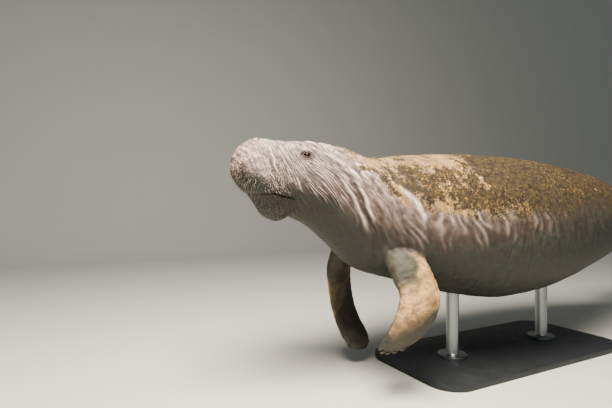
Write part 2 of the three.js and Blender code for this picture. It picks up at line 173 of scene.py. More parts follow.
def skinPoints(x, angle):
    top, bottom, half, widest = section(x)
    up = np.sin(angle)
    y = half * signedPower(np.cos(angle), torso["squareness"](x))
    z = widest + np.where(up > 0, top - widest, widest - bottom) * signedPower(up, torso["edge"](x))
    jaw = torso["jaw"]
    below = smooth((lipLine(x) - z) / jaw["blend"] + .5)
    below = below * (1 - smooth((x - jaw["fadeFrom"]) / jaw["fadeLength"]))
    y = y * (1 - (1 - jaw["narrowing"]) * below)
    points = np.stack(np.broadcast_arrays(x, y, z), -1).astype(float)
    core = np.stack(np.broadcast_arrays(np.maximum(x, torso["nose"]["depth"]), 0 * y, widest), -1)
    outward = points - core
    size = np.linalg.norm(outward, axis=-1, keepdims=True)
    outward = np.where(size > 1e-3, outward / np.maximum(size, 1e-3), (-1, 0, 0))
    height = np.zeros(points.shape[:-1])
    for place, reach, rise in swellings:
        away = np.abs(points * (0, 1, 0)) + points * (1, 0, 1)
        height += rise * np.exp(-np.sum(((away - place) / reach) ** 2, -1))
    fade = smooth((points[..., 2] + 230) / 120)
    for where, depth, width in neckFolds:
        height -= fade * depth * bell(points[..., 0] - where + foldSlant * points[..., 2], width)
    return points + outward * height[..., None]


flippers = {
    "left": {"side": -1, "line": [
        (576, 110, -130), (572, 210, -212), (569, 262, -298), (553, 258, -384), (539, 216, -464),
        (547, 146, -528)]},
    "right": {"side": 1, "line": [
        (588, 110, -120), (580, 210, -208), (582, 264, -316), (592, 264, -420), (612, 222, -524),
        (642, 142, -620)]},
}
flipperShape = {
    "twist": curve((0, .36), (.5, .32), (1, .08)),
    "halfChord": curve((0, 64), (.22, 76), (.42, 77), (.6, 78), (.8, 78), (1, 74)),
    "halfThickness": curve((0, 58), (.22, 46), (.42, 34), (.6, 26), (.8, 20), (1, 13)),
    "sweep": curve((0, 0), (.35, 0), (.5, 12), (.75, 4), (1, -6)),
    "tip": .14,
    "tipRoundness": 2.4,
    "tipThinning": .65,
    "frontThinning": .18,
    "edge": 1.12,
}


def flipperPath(name):  # the middle line of a flipper, evenly read by t from 0 to 1
    side = flippers[name]["side"]
    keys = np.array([(x, side * y, z) for x, y, z in flippers[name]["line"]], float)
    keys = np.vstack([2 * keys[0] - keys[1], keys, 2 * keys[-1] - keys[-2]])
    pieces = []
    for i in range(len(keys) - 3):
        a, b, c, d = keys[i:i + 4]
        g = np.sqrt(np.linalg.norm(np.diff(keys[i:i + 4], axis=0), axis=1))
        start = ((b - a) / g[0] - (c - a) / (g[0] + g[1]) + (c - b) / g[1]) * g[1]
        finish = ((c - b) / g[1] - (d - b) / (g[1] + g[2]) + (d - c) / g[2]) * g[1]
        t = np.linspace(0, 1, 60, endpoint=False)[:, None]
        bend, swing = 3 * c - 3 * b - 2 * start - finish, 2 * b - 2 * c + start + finish
        pieces.append(b + start * t + bend * t ** 2 + swing * t ** 3)
    path = np.vstack(pieces + [keys[-2:-1]])
    length = np.append(0, np.cumsum(np.linalg.norm(np.diff(path, axis=0), axis=1)))
    return path, length


def flipperFrames(name, t):
    side = flippers[name]["side"]
    path, length = flipperPath(name)

    def read(places):
        return np.stack([np.interp(places * length[-1], length, path[:, i]) for i in range(3)], -1)

    t = np.asarray(t, float)
    centre = read(t)
    down = read(np.minimum(t + .01, 1)) - read(np.maximum(t - .01, 0))
    down /= np.linalg.norm(down, axis=-1, keepdims=True)
    twist = flipperShape["twist"](t)
    level = np.stack([np.cos(twist), side * np.sin(twist), 0 * t], -1)
    chord = level - down * np.sum(level * down, -1, keepdims=True)
    chord /= np.linalg.norm(chord, axis=-1, keepdims=True)
    outward = np.cross(chord, down) * side
    tip = np.clip((t - 1 + flipperShape["tip"]) / flipperShape["tip"], 0, 1)
    power = flipperShape["tipRoundness"]
    return centre, down, chord, outward, (1 - tip ** power) ** (1 / power)


def flipperPoints(name, t, angle):
    centre, down, chord, outward, taper = flipperFrames(name, t)
    reach = np.cos(angle)
    wide = flipperShape["halfChord"](t) * taper
    thin = np.where(taper > 0, 1 - flipperShape["tipThinning"] * (1 - taper), 0)
    thick = flipperShape["halfThickness"](t) * thin
    thick = thick * (1 - flipperShape["frontThinning"] * reach)
    return (
        centre + chord * (wide * reach + flipperShape["sweep"](t) * taper)[..., None]
        + outward * (thick * signedPower(np.sin(angle), flipperShape["edge"]))[..., None])


# meshes from numpy arrays and back
def newObject(name, points, faces):
    mesh = bpy.data.meshes.new(name)
    mesh.from_pydata(np.asarray(points).tolist(), [], faces)
    mesh.update()
    made = bpy.data.objects.new(name, mesh)
    bpy.context.scene.collection.objects.link(made)
    return made


def loftFaces(rows, around, start=0):
    faces = []
    for i in range(rows - 1):
        for j in range(around):
            k = (j + 1) % around
            a, b = start + i * around, start + (i + 1) * around
            faces.append((a + j, a + k, b + k, b + j))
    faces.append(tuple(start + j for j in reversed(range(around))))
    faces.append(tuple(start + (rows - 1) * around + j for j in range(around)))
    return faces


def applyModifiers(made):
    graph = bpy.context.evaluated_depsgraph_get()
    mesh = bpy.data.meshes.new_from_object(made.evaluated_get(graph))
    made.modifiers.clear()
    made.data = mesh


def readAll(items, name, wide=1, kind=float):  # one value, or a row of them, from every item
    values = np.empty(len(items) * wide, kind)
    items.foreach_get(name, values)
    return values if wide == 1 else values.reshape(-1, wide)


def vertexPoints(mesh):
    return readAll(mesh.vertices, "co", 3)


def vertexNormals(mesh):
    return readAll(mesh.vertex_normals, "vector", 3, np.float32).astype(float)


def movePoints(mesh, points):
    mesh.vertices.foreach_set("co", np.asarray(points, np.float32).ravel())
    mesh.update()


def faceOutward(mesh):
    bm = bmesh.new()
    bm.from_mesh(mesh)
    bmesh.ops.recalc_face_normals(bm, faces=bm.faces)
    bm.to_mesh(mesh)
    bm.free()


def shadeSmooth(mesh):
    mesh.polygons.foreach_set("use_smooth", np.ones(len(mesh.polygons), bool))


def storeAttribute(mesh, name, values):
    kind = "FLOAT" if values.ndim == 1 else "FLOAT_VECTOR"
    made = mesh.attributes.new(name, kind, "POINT")
    made.data.foreach_set("value" if values.ndim == 1 else "vector", values.astype(np.float32).ravel())


shuffled = rng.permutation(256)
arrows = rng.normal(size=(256, 3))
arrows /= np.linalg.norm(arrows, axis=1, keepdims=True)


def noise(points):  # smooth noise of about -1 to 1, one cell per unit
    if len(points) > 60000:
        return np.concatenate([noise(points[i:i + 60000]) for i in range(0, len(points), 60000)])
    cell = np.floor(points).astype(int)
    part = points - cell
    fade = part ** 3 * (part * (part * 6 - 15) + 10)
    total = np.zeros(len(points))
    for corner in np.ndindex(2, 2, 2):
        a, b, c = ((cell + corner) & 255).T
        pick = shuffled[(shuffled[(shuffled[a] + b) & 255] + c) & 255]
        weight = np.prod(np.where(corner, fade, 1 - fade), axis=1)
        total += weight * np.einsum("ij,ij->i", arrows[pick], part - corner)
    return total * 1.7


def creases(points, width):  # thin lines where the noise passes through nothing
    return bell(noise(points), width)


# the body and flippers fused into one surface, finer towards the face
skinMesh = {
    "rings": 420,
    "around": 180,
    "voxel": .0095,
    "rootSmoothing": 26,
    "limbSmoothing": 9,
    "flipperReach": 80,
    "flipperFade": 60,
    "headEnd": 500,
    "faceEnd": 330,
}


def insideBody(points):  # under 1 inside the plain body, over 1 outside it
    top, bottom, half, widest = section(points[:, 0])
    rise = np.where(points[:, 2] > widest, top - widest, widest - bottom)
    return (
        (np.abs(points[:, 1]) / np.maximum(half, 1)) ** (2 / torso["squareness"](points[:, 0]))
        + (np.abs(points[:, 2] - widest) / np.maximum(rise, 1)) ** (2 / torso["edge"](points[:, 0])))


def buildSkin():
    step = np.linspace(0, 1, skinMesh["rings"])
    x = torso["length"] * (.45 * step ** 2 + .55 * step)
    x = np.concatenate([.02 + 20 * np.linspace(0, 1, 14)[:-1] ** 2, x[x > 20]])
    x[-1] = torso["length"] - .2
    turn = np.linspace(0, 2 * np.pi, skinMesh["around"], endpoint=False)
    points = [skinPoints(x[:, None], turn[None, :])]
    faces = loftFaces(len(x), len(turn))
    start = points[0].reshape(-1, 3).shape[0]
    for name, flipper in flippers.items():
        t = np.sin(np.linspace(0, np.pi / 2, 90))
        t[-1] = .9995
        turns = turn[None, ::3]
        rings = flipperPoints(name, t[:, None] + 0 * turns, -flipper["side"] * turns + 0 * t[:, None])
        faces += loftFaces(len(t), turns.size, start)
        start += rings.shape[0] * rings.shape[1]
        points.append(rings)
    points = np.vstack([p.reshape(-1, 3) for p in points])
    skin = newObject("manatee_skin", toFrame(points), faces)
    fused = skin.modifiers.new("Fuse", "REMESH")
    fused.mode = "VOXEL"
    fused.voxel_size = skinMesh["voxel"]
    applyModifiers(skin)
    # soften where the flippers leave the body
    at = toAnimal(vertexPoints(skin.data))
    near = np.zeros(len(at))
    for name in flippers:
        path, _ = flipperPath(name)
        away, _ = nearestOn(path[::6], at)
        near = np.maximum(near, 1 - smooth((away - skinMesh["flipperReach"]) / skinMesh["flipperFade"]))
    outside = insideBody(at)
    band = near * smooth((outside - .86) / .14) * (1 - smooth((outside - 1.15) / .5))
    limb = near * smooth((outside - 1.2) / .3)
    for name, weights, factor, rounds in (
            ("flipper_root", band, .7, skinMesh["rootSmoothing"]),
            ("flipper", limb, .5, skinMesh["limbSmoothing"])):
        group = skin.vertex_groups.new(name=name)
        for i in np.flatnonzero(weights > .01):
            group.add([int(i)], float(weights[i]), "REPLACE")
        soft = skin.modifiers.new(name, "SMOOTH")
        soft.factor = factor
        soft.iterations = rounds
        soft.vertex_group = group.name
    even = skin.modifiers.new("Even", "SMOOTH")
    even.factor = .5
    even.iterations = 2
    finer = skin.modifiers.new("Finer", "SUBSURF")
    finer.levels = finer.render_levels = 1
    applyModifiers(skin)
    skin.vertex_groups.clear()
    return skin


def nearestOn(path, points):  # distance to a line of points, and which of them is nearest
    best = np.full(len(points), 1e9)
    index = np.zeros(len(points), int)
    for i, place in enumerate(path):
        away = np.linalg.norm(points - place, axis=1)
        closer = away < best
        best[closer], index[closer] = away[closer], i
    return best, index


def refine(mesh, chosen):  # splits every edge whose two ends are chosen
    bm = bmesh.new()
    bm.from_mesh(mesh)
    edges = [edge for edge in bm.edges if chosen[edge.verts[0].index] and chosen[edge.verts[1].index]]
    bmesh.ops.subdivide_edges(bm, edges=edges, cuts=1, use_grid_fill=True)
    bm.to_mesh(mesh)
    bm.free()


# eyes, nostrils and mouth, shaped in the skin itself
eyeShape = {
    "x": 238, "z": 166, "radius": 13, "bulge": 5,
    "openingLong": 11.8, "openingHigh": 7.4,
    # dark is the strength of a painted shade patch round the eye
    "lidThickness": 1.8, "mound": 2.2, "dark": 1.0,
    "folds": ((1.75, 1.5, .13), (2.35, 1.2, .16), (3.1, .9, .2)),  # how far out, how deep and how wide
}
nostrilShape = {"x": 86, "y": 23, "long": 12, "bend": .045, "width": 2.1, "depth": 7.5, "rim": 1.6}
mouthShape = {"width": 2.3, "depth": 9, "lipOver": 2.6}


def angleAt(x, level):
    low, high = 0, math.pi / 2
    for _ in range(30):
        middle = (low + high) / 2
        if skinPoints(np.array([x]), np.array([middle]))[0, 2] < level:
            low = middle
        else:
            high = middle
    return (low + high) / 2


def localFrame(x, angle, side):  # point, along, across and outward on the head's skin
    def at(dx, turn):
        return skinPoints(np.array([x + dx]), np.array([angle + turn]))[0]

    point = at(0, 0)
    normal = np.cross(at(0, .02) - at(0, -.02), at(4, 0) - at(-4, 0))
    normal /= np.linalg.norm(normal)
    for vector in (point, normal):
        vector[1] *= side
    along = np.array([1, 0, 0]) - normal * normal[0]
    along /= np.linalg.norm(along)
    across = np.cross(normal, along) * side
    return point, along, across, normal


def eyeFrame(side):
    return localFrame(eyeShape["x"], angleAt(eyeShape["x"], eyeShape["z"]), side)


def nostrilFrame(side):
    half = float(torso["halfWidth"](nostrilShape["x"]))
    return localFrame(nostrilShape["x"], math.pi / 2 - math.asin(nostrilShape["y"] / half), side)


def nearFrame(points, place, reach):
    point, along, across, normal = place
    near = np.flatnonzero(np.linalg.norm(points - point, axis=1) < reach)
    local = points[near] - point
    return near, local @ along, local @ across, local @ normal


def shapeEye(points, crease, side):
    place = eyeFrame(side)
    near, a, b, h = nearFrame(points, place, 60)
    q = np.hypot(a / eyeShape["openingLong"], b / eyeShape["openingHigh"])
    r = np.hypot(a, b)
    turn = np.arctan2(b, a)
    centre = eyeShape["bulge"] - eyeShape["radius"]
    lidBall = eyeShape["radius"] + eyeShape["lidThickness"]
    over = centre + np.sqrt(np.maximum(lidBall ** 2 - np.minimum(r, lidBall * .97) ** 2, 0))
    under = centre + np.sqrt(np.maximum((eyeShape["radius"] - 4) ** 2 - np.minimum(r, 8.5) ** 2, 0))
    mound = h + eyeShape["mound"] * bell(q - 1.7, .9)
    lids = mound + (over - mound) * (1 - smooth((q - 1.25) / .75))
    target = lids + (under - lids) * smooth((1.03 - q) / .1)
    folds = 0
    for ring, depth, wide in eyeShape["folds"]:
        wavy = ring * (1 + .05 * np.sin(3 * turn + ring) + (.08 * np.sin(turn)))
        folds = folds + depth * bell(q - wavy, wide)
    rays = (.5 + .5 * np.cos(17 * turn + 3 * np.sin(2 * turn))) ** 3 * bell(q - 1.75, .5) * .9
    target = target - folds - rays
    points[near] += place[3] * (target - h)[:, None] * (1 - smooth((q - 3.4) / .8))[:, None]
    # painted shade in the lid folds and a painted shade patch round the eye
    dark = eyeShape["dark"] * bell(q, 2.3 + .4 * np.sin(2 * turn + 1), 4)
    crease[near] = np.maximum(crease[near], np.clip(folds / 1.7 + rays * .5 + dark, 0, 1))


def shapeNostril(points, crease, side):
    place = nostrilFrame(side)
    near, a, b, h = nearFrame(points, place, 34)
    line = -nostrilShape["bend"] * b ** 2 + 3
    ends = 1 - smooth((np.abs(b) - nostrilShape["long"] * .7) / (nostrilShape["long"] * .45))
    slit = bell(a - line, nostrilShape["width"]) * ends
    rim = bell(a - line + 6, 4.5) * ends * nostrilShape["rim"]
    points[near] += place[3] * (rim - slit * nostrilShape["depth"])[:, None]
    # painted shade in the nostril slit
    crease[near] = np.maximum(crease[near], slit)


def shapeMouth(points, crease):
    x, y, z = points.T
    lip = torso["lip"]
    inFront = (x < lip["cornerX"] + 20) & (np.abs(z - lipLine(x)) < 45)
    near = np.flatnonzero(inFront)
    x, y, z = points[near].T
    wave = 1.6 * np.sin(x / 17) + 1.2 * np.sin(x / 9 + 1)
    away = z - lipLine(x) - wave * smooth((x - 60) / 40)
    fade = 1 - smooth((x - lip["cornerX"] + 14) / 24)
    groove = bell(away, mouthShape["width"]) * fade
    upper = bell(away - 8, 6.5) * fade * mouthShape["lipOver"]
    lower = bell(away + 8, 5) * fade * mouthShape["lipOver"] * .5
    inward = np.stack([np.maximum(x, 110) - x, -y, 0 * z], 1)
    inward /= np.maximum(np.linalg.norm(inward, axis=1, keepdims=True), 1)
    parted = smooth((x - 64) / 56)
    points[near] += inward * (groove * mouthShape["depth"] * (.3 + .7 * parted) - upper - lower)[:, None]
    corner = np.hypot((x - lip["cornerX"] - 4) / 16, (z - lip["cornerZ"] + 10) / 26)
    # painted shade in the mouth groove and at its corner
    crease[near] = np.maximum(crease[near], np.clip(groove * parted * .9 + .4 * bell(corner, 1), 0, 1))


# wrinkles and folds in the skin itself: they run down and back, and slant most behind the eye
slant = curve(
    (0, .35), (120, .5), (200, .72), (260, .88), (330, .8), (460, .6), (800, .3), (1500, .12), (3000, .05))
# across and along are a wrinkle's size, depth and width its groove, where its strength along x
wrinkleLayers = [
    {"across": 11, "along": 58, "depth": 2.2, "width": .27,
     "where": ((0, .1), (90, .3), (180, .7), (330, .7), (430, .4), (560, .15), (700, 0))},
    {"across": 7, "along": 16, "depth": 1.8, "width": .32,
     "where": ((0, .9), (60, 1), (190, .8), (300, .5), (420, .3), (520, 0))},
    {"across": 26, "along": 80, "depth": 2.2, "width": .2,
     "where": ((0, 0), (250, .1), (360, .4), (620, .35), (900, .2), (1300, .2), (3000, .15))},
    {"across": 62, "along": 300, "depth": 4.2, "width": .16,
     "where": ((0, 0), (450, .2), (640, 1), (1100, .8), (2200, .55), (2500, 0))},
    {"across": 17, "along": 60, "depth": 1.2, "width": .28,
     "where": ((0, 0), (420, .15), (600, .5), (1500, .6), (2400, .6), (3000, .4))},
]
# rows of raised lines: how far apart, how long, high, thin and how pale their painted highlight is, between
# which levels, and where
crestLayers = [
    {"apart": 8, "long": 26, "height": 1.4, "thin": 1.5, "pale": .9, "levels": (30, 400),
     "where": ((0, 0), (70, .3), (110, 1), (170, 1), (220, .4), (260, 0))},
    {"apart": 11, "long": 62, "height": 2.2, "thin": 1.7, "pale": .85, "levels": (-40, 400),
     "where": ((130, 0), (185, .7), (230, 1), (320, 1), (370, .4), (430, 0))},
    {"apart": 26, "long": 100, "height": 1.3, "thin": 2, "pale": .22, "levels": (-150, 400),
     "where": ((320, 0), (390, .7), (520, .7), (620, .2), (740, 0))},
    {"apart": 44, "long": 90, "height": 1.8, "thin": 2.2, "pale": .4, "levels": (-160, -30),
     "where": ((500, 0), (640, 1), (1000, .8), (1300, .2), (1500, 0))},
]
lumps = [(150, 3.2, 620), (60, 1.5, 420), (26, 1.1, 0)]  # size, height and where along x they begin
deepFolds = [  # place at the level of the mouth, slant, depth and width, and the levels that it reaches
    (128, .16, 2.2, 5, 90, 215), (176, .3, 1.4, 5, 60, 190), (372, .5, 3.5, 7, -150, 120),
    (408, .44, 6, 7, -190, 150), (449, .38, 5, 8, -220, 160), (486, .36, 4, 9, -230, 120),
    (528, .32, 4.5, 10, -250, 110),
]
ridges = [  # single raised folds of the neck and shoulder: start and end as (x, z), height and width
    ((352, 72), (436, -92), 5, 6.5), ((396, 72), (446, -60), 4.5, 5.5), ((384, -18), (404, -74), 3, 5),
    ((372, 122), (408, 84), 3, 9), ((560, 46), (610, -24), 4, 12), ((596, 8), (622, -60), 3, 8),
    ((112, 176), (126, 116), 2, 4),
]
armFolds = {
    "first": .2, "last": .6, "across": 24, "along": 70, "depth": 1.3, "fineAcross": 8, "fineDepth": .7,
    "rootDepth": 7, "rootWidth": .05, "rootAt": 1.09,
    "length": 560, "middle": 560,  # a flipper's length, and where it hangs
    "from": 380, "to": 820, "below": -90,  # the part of the animal that can be flipper
    "rootFrom": 440, "rootTo": 760, "rootBelow": -110,
}
armPaintedShade = {  # painted shade on a flipper: the side that faces the body, the upper front, and the end
    "patch": 38, "innerSoft": 26, "frontTo": .36, "behindFrom": .42, "tipFrom": .57, "tipSoft": .17,
    "tipSlant": .1,
}


def wrinkleSkin(points):
    x, y, z = points.T
    flow = np.stack([x + slant(x) * z, y, z], 1)
    outside = insideBody(points)
    arm = smooth((outside - 1.05) / .35)
    arm[(x < armFolds["from"]) | (x > armFolds["to"]) | (z > armFolds["below"])] = 0
    armPlace, armTurn, armShade = np.zeros(len(points)), np.zeros(len(points)), np.zeros(len(points))
    near = np.zeros(len(points))
    beside = np.flatnonzero(
        (x > armFolds["rootFrom"]) & (x < armFolds["rootTo"]) & (z < armFolds["rootBelow"]))
    for name, flipper in flippers.items():
        path, length = flipperPath(name)
        away, _ = nearestOn(path[60:200:4], points[beside])
        near[beside] = np.maximum(near[beside], 1 - smooth((away - 62) / 40))
        mine = np.flatnonzero((y * flipper["side"] > 60) & (arm > 0))
        _, index = nearestOn(path[::3], points[mine])
        t = length[::3][index] / length[-1]
        armPlace[mine] = t
        centre, down, chord, outward, taper = flipperFrames(name, t)
        offset = points[mine] - centre
        armTurn[mine] = np.arctan2(np.sum(offset * chord, 1), 2.4 * np.sum(offset * outward, 1))
        # painted shade: the inner face, the upper front, the rear edge and the end of the flipper, as if lit
        # from above
        ragged = noise(points[mine] / armPaintedShade["patch"])
        inner = smooth(.5 - np.sum(offset * outward, 1) / armPaintedShade["innerSoft"])
        ahead = -np.sum(offset * chord, 1) + 25 * ragged
        front = smooth(.5 + (ahead + 8) / 40) * (1 - smooth((t - armPaintedShade["frontTo"]) / .14))
        behind = .5 * smooth(-(ahead + 12) / 50) * smooth((t - armPaintedShade["behindFrom"]) / .2)
        begin = armPaintedShade["tipFrom"] - .07 * ragged + armPaintedShade["tipSlant"] * np.clip(ahead / 60, -1, 1)
        tip = smooth((t - begin) / armPaintedShade["tipSoft"])
        armShade[mine] = np.clip(.85 * inner + front + behind + tip, 0, 1)
    inward, crease, ridgeHighlight = np.zeros(len(points)), np.zeros(len(points)), np.zeros(len(points))
    calm = 1 - arm
    for layer in wrinkleLayers:
        weight = curve(*layer["where"])(x) * calm
        used = np.flatnonzero(weight > .02)
        at = flow[used] / (layer["across"], layer["along"], layer["along"])
        at[:, 0] += noise(flow[used] / (layer["along"] * 1.1)) * .9
        lines = creases(at + layer["across"], layer["width"])
        patch = .55 + .45 * noise(flow[used] / (layer["along"] * .9) + 40)
        inward[used] += lines * weight[used] * patch * layer["depth"]
        # painted shade in the wrinkle grooves
        crease[used] += lines * weight[used] * patch * min(1, layer["depth"] / 2.2) * .75
    for layer in crestLayers:
        low, high = layer["levels"]
        weight = curve(*layer["where"])(x) * calm * smooth((z - low) / 60 + .5) * smooth((high - z) / 60 + .5)
        used = np.flatnonzero(weight > .02)
        at, apart, long = flow[used], layer["apart"], layer["long"]
        phase = at[:, 0] / apart + noise(at / (long * 1.3)) * 1.5
        phase += .35 * noise(at / (apart * 1.5, long * .6, long * .6))
        line = (.5 + .5 * np.cos(2 * np.pi * phase)) ** layer["thin"]
        line *= smooth(.6 + 1.1 * noise(at / (apart * 1.3, long, long) + 17))
        inward[used] += weight[used] * (.4 - line) * layer["height"]
        # painted highlight along the raised lines
        ridgeHighlight[used] += weight[used] * line * layer["pale"]
        # painted shade between the raised lines
        crease[used] += weight[used] * .62 * layer["pale"] * (1 - line) ** 3
    for start, end, height, width in ridges:
        start, end = np.array(start, float), np.array(end, float)
        step = end - start
        t = np.clip((np.stack([x, z], 1) - start) @ step / (step @ step), 0, 1)
        gap = np.stack([x, z], 1) - start - t[:, None] * step
        side = gap @ (step[1], -step[0]) / np.linalg.norm(step) + 2 * np.sin(z / 11)
        past = np.maximum(0, np.linalg.norm(gap, axis=1) - np.abs(side))
        ends = bell(np.abs(t - .5), .5, 6) * np.exp(-past / width)
        line = bell(side, width) * ends * calm
        inward -= line * height
        # painted highlight along each ridge
        ridgeHighlight += line
        # painted shade beside each ridge
        crease += .5 * bell(np.abs(side) - 1.7 * width, .6 * width) * ends * calm
    for size, height, begin in lumps:
        inward -= height * .5 * (noise(points / size + size) - .6) * smooth((x - begin) / 200 + (begin == 0))
    # wrinkles round the flippers, with painted shade in their grooves
    used = np.flatnonzero(arm > .02)
    t = armPlace[used]
    reach = smooth((t - armFolds["first"]) / .08) * (1 - smooth((t - armFolds["last"]) / .25))
    at = np.stack([t * armFolds["length"] + .25 * (x[used] - armFolds["middle"]), x[used], y[used]], 1)
    big = creases(at / (armFolds["across"], armFolds["along"], armFolds["along"]) + 9, .24)
    fine = creases(at / (armFolds["fineAcross"], armFolds["along"] * .4, armFolds["along"] * .4) + 5, .3)
    depth = big * reach * armFolds["depth"] + fine * armFolds["fineDepth"] * (.35 + .65 * reach)
    inward[used] += arm[used] * depth
    crease[used] += arm[used] * (big * reach * .35 + fine * .22)
    # deep folds of the muzzle and neck, with painted shade in them
    for place, slope, depth, width, lowest, highest in deepFolds:
        line = place - slope * z + 4 * np.sin(z / 23 + place)
        fold = bell(x - line, width) * smooth((z - lowest) / 60) * (1 - smooth((z - highest + 40) / 50))
        inward += fold * depth * calm
        crease += fold * .5 * calm
    # the fold that the body lays over each flipper, with painted shade in it
    root = bell(outside - armFolds["rootAt"], armFolds["rootWidth"]) * near
    inward += root * armFolds["rootDepth"]
    crease += root * .7
    return inward, np.clip(crease, 0, 1), np.clip(ridgeHighlight, 0, 1), flow, arm, armPlace, armTurn, armShade


pits = {  # the pits that the bristles stand in, spread over the lip pads and thinly over the chin
    "count": 800, "gap": 4.8, "width": 2.1, "depth": 1.3, "muzzleEnd": 190, "rearmost": 175,
    "pad": ((62, 66), (62, 34)), "chin": ((96, -8), (42, 26)), "chinShare": .12,
}
neighbours = [(a, b, c) for a in (-1, 0, 1) for b in (-1, 0, 1) for c in (-1, 0, 1)]


def poreSpots(points, count, region, gap):  # spread places for bristles and their pits
    chance = region(points)
    order = rng.permutation(np.flatnonzero(chance > rng.random(len(points))))
    taken, kept = set(), []
    for i in order:
        cell = tuple((points[i] // gap).astype(int))
        if any((cell[0] + a, cell[1] + b, cell[2] + c) in taken for a, b, c in neighbours):
            continue
        taken.add(cell)
        kept.append(i)
        if len(kept) >= count:
            break
    return np.array(kept)


def lipRegion(points):
    x, y, z = points.T
    chance = patchAt(x, z, *pits["pad"]) + patchAt(x, z, *pits["chin"]) * pits["chinShare"]
    return np.clip(chance, 0, 1) * (x < pits["rearmost"])


print("skin: fusing the body and flippers")
skin = buildSkin()
at = toAnimal(vertexPoints(skin.data))
refine(skin.data, at[:, 0] < skinMesh["headEnd"])
at = toAnimal(vertexPoints(skin.data))
refine(skin.data, at[:, 0] < skinMesh["faceEnd"])
points = toAnimal(vertexPoints(skin.data))
normals = vertexNormals(skin.data)
print("skin: wrinkles on", len(points), "points")
inward, crease, ridgeHighlight, flow, arm, armPlace, armTurn, armShade = wrinkleSkin(points)
quietEye = np.ones(len(points))
for side in (-1, 1):
    quietEye *= smooth((np.linalg.norm(points - eyeFrame(side)[0], axis=1) - 14) / 22)
    quietEye *= smooth((np.linalg.norm(points - nostrilFrame(side)[0], axis=1) - 6) / 10)
inward, crease, ridgeHighlight = inward * quietEye, crease * quietEye, ridgeHighlight * quietEye
restPoints = points.copy()
points = points - normals * inward[:, None]
for side in (-1, 1):
    shapeEye(points, crease, side)
    shapeNostril(points, crease, side)
shapeMouth(points, crease)
low, high = toAnimal(cadBox)
points = np.clip(points, low, high)
movePoints(skin.data, toFrame(points))

# a pit round the root of each bristle, with painted shade in it
normals = vertexNormals(skin.data)
roots = poreSpots(points, pits["count"], lipRegion, pits["gap"])
print("skin:", len(roots), "bristle pits,", len(skin.data.polygons), "faces")
muzzlePart = np.flatnonzero(points[:, 0] < pits["muzzleEnd"])
away = np.full(len(muzzlePart), 1e9)
for root in points[roots]:
    close = np.abs(points[muzzlePart, 0] - root[0]) < 6
    away[close] = np.minimum(away[close], np.linalg.norm(points[muzzlePart][close] - root, axis=1))
pit = bell(away, pits["width"])
points[muzzlePart] -= normals[muzzlePart] * (pit * pits["depth"])[:, None]
crease[muzzlePart] = np.maximum(crease[muzzlePart], pit * .7)
movePoints(skin.data, toFrame(points))
shadeSmooth(skin.data)

# where painted shade darkens the underside and painted half shade the band above it, and where algae grows on
# the back
underside = {
    "level": curve(
        (0, 94), (60, 82), (140, 66), (200, 62), (240, 48), (310, 20), (350, -12), (410, -62),
        (460, -100), (560, -138), (720, -150), (1000, -115), (1200, -70), (1500, -30), (2000, -30),
        (2400, -90), (3000, -192)),
    "halfShade": curve(
        (0, 40), (150, 84), (250, 180), (400, 225), (700, 230), (1300, 180), (2300, 90), (3000, 20)),
    "blend": curve(
        (0, 34), (200, 48), (400, 70), (700, 120), (1300, 190), (2200, 130), (2500, 20), (3000, 10)),
    "ragged": 26,
}
growth = {
    "from": 418, "slope": .72, "level": 150, "soft": 60, "lowSoft": 44, "thick": .32, "thinTop": .22,
    "lowEdge": curve(
        (430, 90), (560, 0), (700, -32), (1000, -50), (1500, -60), (2000, -50), (2400, -110), (3000, -200)),
    # dark patches as (x, z), reach and strength
    "patches": [
        ((505, 108), (90, 52), .75), ((640, 50), (70, 40), .35), ((785, 40), (110, 44), .55),
        ((1010, 120), (150, 70), .4), ((1280, 40), (260, 110), .5)],
    "rearFrom": 780, "rearOver": 420, "rearGrowthAndShade": .85,
}
x, y, z = restPoints.T
top, bottom, half, widest = section(x)
level, blend = underside["level"](x), underside["blend"](x)
# painted shade: dark below a level line along the body, with a ragged edge
shade = smooth((level - z + underside["ragged"] * noise(flow / (34, 150, 150))) / blend + .5)
# painted half shade: a darkening that climbs above the painted shade's level line
halfShade = smooth(1 - (z - level + 20 * noise(flow / (22, 90, 90))) / underside["halfShade"](x)) * (1 - arm)
# the flippers take their own painted shade
shade = shade * (1 - arm) + armShade * arm
begin = growth["from"] + growth["slope"] * (growth["level"] - z)
grown = smooth((x - begin) / growth["soft"] + .5 + noise(restPoints / 55))
above = (z - growth["lowEdge"](x)) / growth["lowSoft"] + .5
grown *= smooth(above + .9 * noise(restPoints / 42 + 8)) * (1 - arm)
thick = growth["thick"] + .6 * noise(restPoints / (110, 80, 70) + 3) + .6 * noise(flow / (28, 44, 44))
for place, reach, strength in growth["patches"]:
    thick += strength * patchAt(x, z, place, reach)
# denser dark algae towards the tail, partly real growth and partly painted shade
thick += (
    growth["rearGrowthAndShade"] * smooth((x - growth["rearFrom"]) / growth["rearOver"])
    - growth["thinTop"] * smooth((z - 110) / 70) * smooth((1100 - x) / 200))
headPart = 1 - smooth((x - 330 - .35 * z) / 330)
marks = {
    "algae": grown, "clump": np.clip(thick, 0, 1) * grown, "headPart": headPart, "shade": shade, "halfShade": halfShade,
    "crease": crease, "ridgeHighlight": ridgeHighlight, "arm": arm, "muzzle": 1 - smooth((x - 70) / 90), "flow": flow / 1000,
}
for name, values in marks.items():
    storeAttribute(skin.data, name, values)


# charts for the colour map: the rear and the front of each side, and each flipper
charts = {
    "size": 3250,  # how many millimetres of skin the whole map is wide
    "split": 560,  # where the front charts end
    "rear": {"left": 10, "low": 560, "apart": .345},
    "front": {"left": 20, "low": 455, "up": .7, "apart": .365, "long": 1.75, "tall": 1.45},
    "flipper": {"left": .79, "up": .71, "apart": .105, "perTurn": .0155},
}


